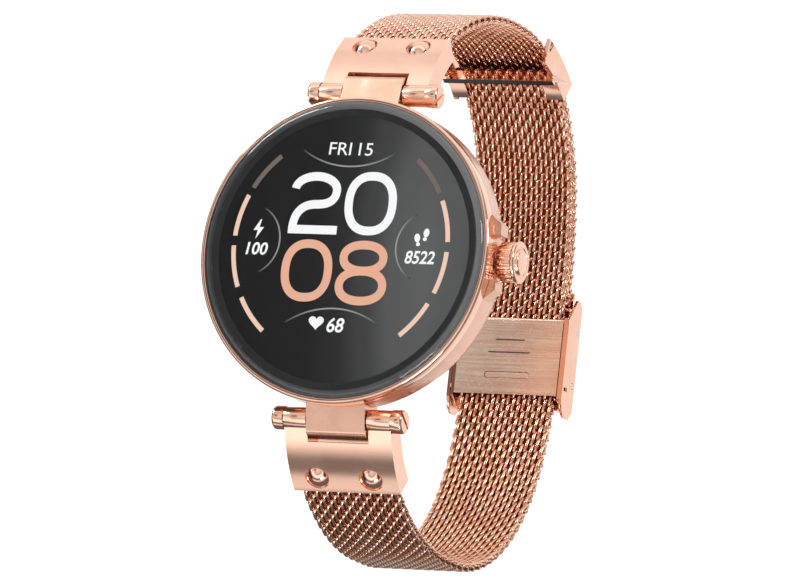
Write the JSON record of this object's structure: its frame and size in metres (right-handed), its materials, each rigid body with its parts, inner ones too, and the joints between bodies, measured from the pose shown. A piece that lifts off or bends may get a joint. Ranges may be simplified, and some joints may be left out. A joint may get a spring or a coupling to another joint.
{
  "type": "smartwatch",
  "caption": "Round smartwatch with a lit digital dial, fluted crown, hinged strap brackets and a closed woven metal mesh strap with a sliding fold-over clasp.",
  "frame": {"origin": "centre of the sensor window on the case back, the face that rests on the wrist", "axes": "+Z out of the dial, +Y towards 12 o'clock, +X towards the crown"},
  "size_m": [0.0427, 0.0731, 0.0611],
  "materials": {
    "rose_polished": "polished rose-gold plating on steel",
    "rose_satin": "satin rose-gold plating",
    "rose_brushed": "rose-gold plate brushed across the strap",
    "rose_mesh": "woven rose-gold plated wire",
    "black_glass": "polished black cover glass with a lit display behind it",
    "sensor_glass": "dark clear sensor window",
    "black_parts": "black moulded plastic",
    "seal_rubber": "black seal rubber",
    "steel": "plain turned steel",
    "circuit_board": "green solder mask",
    "flex_film": "amber flexible circuit",
    "battery_foil": "silver pouch foil",
    "white_plastic": "white plastic",
    "gold_contact": "gold-plated contact"
  },
  "bodies": {
    "case": {"case_shell": "rose_polished", "bezel_ring": "rose_polished", "cover_glass": "black_glass", "glass_gasket": "seal_rubber", "display_panel": "black_parts", "display_flex": "flex_film", "inner_frame": "steel", "main_board": "circuit_board", "board_chips": "black_parts", "board_screws": "steel", "battery": "battery_foil", "vibration_motor": "steel", "back_cover": "rose_satin", "back_seal": "seal_rubber", "back_screws": "steel", "sensor_window": "sensor_glass", "sensor_board": "circuit_board", "sensor_leds": "white_plastic", "charge_contacts": "gold_contact", "crown_tube": "steel", "crown_seal": "seal_rubber", "crown_switch": "black_parts", "pin_top": "steel", "pin_bottom": "steel", "pin_screws_top": "rose_polished", "pin_screws_bottom": "rose_polished"},
    "crown_slider": {"crown_plunger": "white_plastic"},
    "crown": {"crown_stem": "steel", "crown_clip": "steel", "crown_knob": "rose_polished", "crown_cap": "rose_polished"},
    "strap_top_half": {"bracket_top": "rose_polished", "rivets_top": "rose_polished", "strap_top": "rose_mesh", "clasp_hook": "rose_polished"},
    "strap_bottom_half": {"bracket_bottom": "rose_polished", "rivets_bottom": "rose_polished", "strap_bottom": "rose_mesh", "clasp_frame": "rose_polished", "clasp_pins": "steel", "tail_tip": "rose_polished"},
    "clasp_cover": {"clasp_cover": "rose_polished", "clasp_bar": "steel"},
    "lock_plate": {"lock_plate": "rose_brushed"}
  },
  "joints": [
    {"name": "strap_top_swing", "type": "hinge", "parent": "case", "child": "strap_top_half", "pos_m": [0, 0.0212, 0.0054], "axis": [1, 0, 0], "range_deg": [0, 30]},
    {"name": "strap_bottom_swing", "type": "hinge", "parent": "case", "child": "strap_bottom_half", "pos_m": [0, -0.0212, 0.0054], "axis": [1, 0, 0], "range_deg": [-15, 0]},
    {"name": "clasp_cover_swing", "type": "hinge", "parent": "strap_bottom_half", "child": "clasp_cover", "pos_m": [0, -0.006, -0.0494], "axis": [-1, 0, 0], "range_deg": [0, 100]},
    {"name": "lock_plate_swing", "type": "hinge", "parent": "strap_bottom_half", "child": "lock_plate", "pos_m": [0, 0.00215, -0.04672], "axis": [-1, 0, 0], "range_deg": [0, 70]},
    {"name": "crown_press", "type": "slide", "parent": "case", "child": "crown_slider", "axis": [-1, 0, 0], "range_m": [0, 0.00035], "stiffness_N_per_m": 2500},
    {"name": "crown_turn", "type": "hinge", "parent": "crown_slider", "child": "crown", "pos_m": [0.022, 0, 0.005], "axis": [1, 0, 0], "continuous": true}
  ],
  "couplings": [
    {"joint": "strap_bottom_swing", "follows": "strap_top_swing", "ratio": -0.5}
  ]
}
